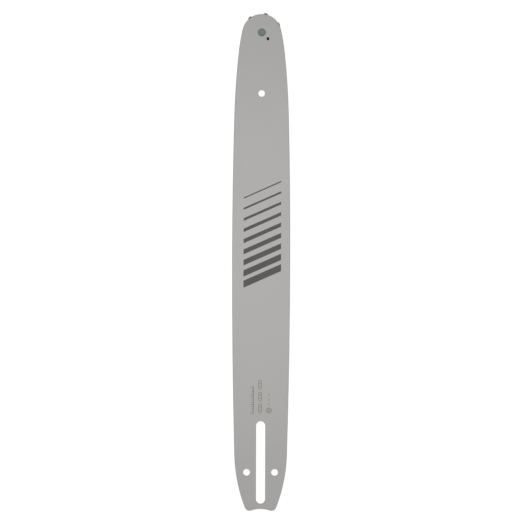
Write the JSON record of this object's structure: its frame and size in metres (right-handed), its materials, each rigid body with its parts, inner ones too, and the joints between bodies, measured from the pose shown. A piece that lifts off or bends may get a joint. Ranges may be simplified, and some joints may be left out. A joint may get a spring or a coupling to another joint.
{
  "type": "chainsaw guide bar",
  "caption": "Laminated steel guide bar for a chainsaw, with a chain groove round its edge, a roller-bearing sprocket in the nose, and a stud slot and pin holes at the tail.",
  "frame": {"origin": "centre of the stud slot, on the lower face of the bar", "axes": "+Y along the bar towards the nose, +Z through the thickness towards the face that the picture shows, +X across the bar to its right in the picture"},
  "size_m": [0.0526, 0.4509, 0.0035],
  "materials": {
    "plate_paint": "matte warm grey coat on steel, bare ground steel on the rails",
    "core_steel": "dull rolled steel",
    "sprocket_steel": "dark hardened steel with an oil-brown tint",
    "rivet_steel": "blue-grey tempered steel, flush head",
    "bearing_steel": "greased bearing steel"
  },
  "bodies": {
    "bar": {"top_side_plate": "plate_paint", "bottom_side_plate": "plate_paint", "core_plate": "core_steel", "inner_race": "bearing_steel", "nose_rivet": "rivet_steel"},
    "sprocket": {"nose_sprocket": "sprocket_steel"},
    "roller_row": {"roller_01": "bearing_steel", "roller_02": "bearing_steel", "roller_03": "bearing_steel", "roller_04": "bearing_steel", "roller_05": "bearing_steel", "roller_06": "bearing_steel", "roller_07": "bearing_steel", "roller_08": "bearing_steel", "roller_09": "bearing_steel", "roller_10": "bearing_steel", "roller_11": "bearing_steel", "roller_12": "bearing_steel", "roller_13": "bearing_steel", "roller_14": "bearing_steel", "roller_15": "bearing_steel", "roller_16": "bearing_steel", "roller_17": "bearing_steel", "roller_18": "bearing_steel", "roller_19": "bearing_steel", "roller_20": "bearing_steel"}
  },
  "joints": [
    {"name": "sprocket_spin", "type": "hinge", "parent": "bar", "child": "sprocket", "pos_m": [0, 0.3895, 0.00175], "axis": [0, 0, 1], "continuous": true},
    {"name": "roller_orbit", "type": "hinge", "parent": "bar", "child": "roller_row", "pos_m": [0, 0.3895, 0.00175], "axis": [0, 0, 1], "continuous": true}
  ],
  "couplings": [
    {"joint": "roller_orbit", "follows": "sprocket_spin", "ratio": 0.5776}
  ]
}
